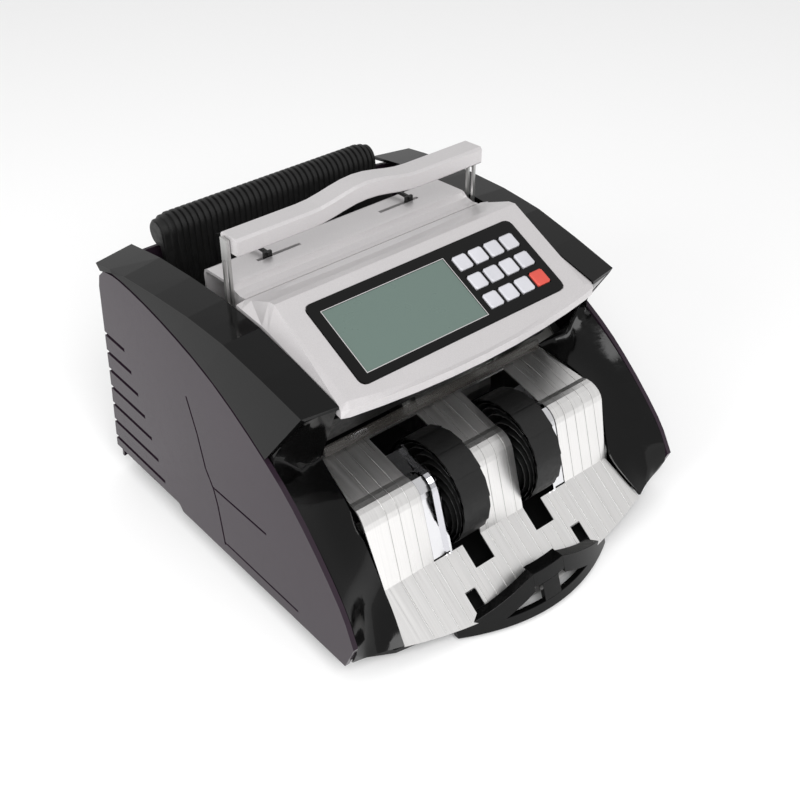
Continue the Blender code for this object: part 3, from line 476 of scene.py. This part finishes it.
def sheet_height(x, y):
    """Height of the stacker sheet's upper face, or None over a cut-out."""
    low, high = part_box("stacker_plate")
    hit, place, _, _ = nodes["stacker_plate"].ray_cast(Vector((x, y, high.z + 0.02)),
                                                       Vector((0.0, 0.0, -1.0)))
    if not hit or place.z < low.z:
        return None
    return place.z


def sheet_line(index, x):
    """Fine raised line that follows the sheet from front to back, broken at its cut-outs; its darker
    zinc steel is painted shade of the pressed line, whose own colour is the sheet's steel.
    """
    low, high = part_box("stacker_plate")
    count = int((high.y - low.y) / SHEET_STEP)
    heights = []
    for k in range(2, count - 1):
        y = low.y + SHEET_STEP * k
        z = sheet_height(x, y)
        if z is not None:
            heights.append((y, z))
    runs = []
    for y, z in heights:
        if runs and y - runs[-1][-1][0] < SHEET_STEP * 1.5:
            runs[-1].append((y, z))
        else:
            runs.append([(y, z)])
    half = SHEET_LINE_WIDTH / 2
    shapes = []
    for run in runs:
        if len(run) < SHORTEST_RUN:
            continue
        rings = []
        for y, z in run:
            y_up, z_up = y - SHEET_LINE_LIFT, z + SHEET_LINE_LIFT
            z_sunk = z - SHEET_LINE_SINK
            rings.append([(x - half, y, z_sunk), (x - half * 0.5, y_up, z_up),
                          (x + half * 0.5, y_up, z_up), (x + half, y, z_sunk)])
        shapes.append(loft(rings))
    if shapes:
        # darker zinc steel here is painted shade: the pressed line is the sheet's own steel, darkened
        # to read as its groove
        new_piece("sheet_line_%d" % index, *merge(shapes), "zinc_steel", "chassis")


def sheet_lines():
    reach = int(SHEET_LINE_REACH / SHEET_LINE_PITCH)
    for k in range(-reach, reach + 1):
        sheet_line(k + reach + 1, (k + 0.5) * SHEET_LINE_PITCH)


def display_border():
    """Thin light line round the display window, on the overlay."""
    low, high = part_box("lcd_module")
    along = Vector((0.0, math.cos(CONSOLE_TILT), math.sin(CONSOLE_TILT)))
    outward = Vector((0.0, -math.sin(CONSOLE_TILT), math.cos(CONSOLE_TILT)))
    half_x = (high.x - low.x) / 2
    foot = Vector(((low.x + high.x) / 2, low.y, high.z - DISPLAY_HEIGHT * math.sin(CONSOLE_TILT)))
    base = foot + outward * BORDER_CLEARANCE
    rim, length = BORDER_WIDTH, DISPLAY_HEIGHT
    outer = ((-half_x - rim, -rim), (half_x + rim, -rim), (half_x + rim, length + rim),
             (-half_x - rim, length + rim))
    inner = ((-half_x, 0.0), (half_x, 0.0), (half_x, length), (-half_x, length))
    verts = []
    for lift in (0.0, BORDER_THICK):
        for ring in (outer, inner):
            verts += [tuple(base + Vector((x, 0, 0)) + along * s + outward * lift) for x, s in ring]
    faces = []
    for k in range(4):
        j = (k + 1) % 4
        faces += [(k, j, 4 + j, 4 + k), (8 + k, 8 + j, 12 + j, 12 + k), (k, j, 8 + j, 8 + k),
                  (4 + k, 4 + j, 12 + j, 12 + k)]
    new_piece("display_border", verts, faces, "silver_satin", "console")


# ---- stage -------------------------------------------------------------------------------------
def make_camera():
    data = bpy.data.cameras.new("camera")
    data.lens = CAMERA_LENS
    data.sensor_width = SENSOR_WIDTH
    made = bpy.data.objects.new("camera", data)
    back = Vector((math.sin(CAMERA_AZIMUTH) * math.cos(CAMERA_ELEVATION),
                   -math.cos(CAMERA_AZIMUTH) * math.cos(CAMERA_ELEVATION),
                   math.sin(CAMERA_ELEVATION)))
    made.location = CAMERA_TARGET + back * CAMERA_DISTANCE
    made.rotation_euler = (math.pi / 2 - CAMERA_ELEVATION, 0.0, CAMERA_AZIMUTH)
    bpy.context.scene.collection.objects.link(made)
    bpy.context.scene.camera = made


def make_light(name, place, size, power):
    data = bpy.data.lights.new(name, "AREA")
    data.shape = "RECTANGLE"
    data.size, data.size_y = size
    data.energy = power
    made = bpy.data.objects.new(name, data)
    made.location = place
    aim = LIGHT_AIM - Vector(place)
    made.rotation_euler = aim.to_track_quat("-Z", "Y").to_euler()
    bpy.context.scene.collection.objects.link(made)


def make_stage():
    mesh = bpy.data.meshes.new("floor")
    corners = ((-1, -1), (1, -1), (1, 1), (-1, 1))
    mesh.from_pydata([(FLOOR_REACH * x, FLOOR_REACH * y, 0.0) for x, y in corners], [], [(0, 1, 2, 3)])
    floor = bpy.data.objects.new("floor", mesh)
    floor.location.z = -FLOOR_DROP
    bpy.context.scene.collection.objects.link(floor)
    paint = Finish("floor_paint", (0.92, 0.92, 0.92), 0.85)
    mesh.materials.append(paint.made)
    world = bpy.data.worlds.new("studio")
    world.use_nodes = True
    world.node_tree.nodes["Background"].inputs["Color"].default_value = (1.0, 1.0, 1.0, 1.0)
    world.node_tree.nodes["Background"].inputs["Strength"].default_value = WORLD_STRENGTH
    bpy.context.scene.world = world
    bpy.context.scene.view_settings.view_transform = "Standard"
    for light in LIGHTS:
        make_light(*light)


# ---- scene -------------------------------------------------------------------------------------
finishes = make_finishes()
for node_name, node in nodes.items():
    node.data.materials.clear()
    node.data.materials.append(finishes[SLOT_OF[node_name]])

for node_name, width in ROUNDING.items():
    round_edges(nodes[node_name], width)
for number in range(1, KEYS + 1):
    round_edges(nodes["key_%d" % number], KEY_ROUNDING)

for word in ("left", "right"):
    smooth_copy("cheek_" + word, "chassis")
note_stop()
ribbed_rest()
impeller_wheel(LEFT)
impeller_wheel(RIGHT)
sheet_lines()
display_border()
make_stage()
make_camera()
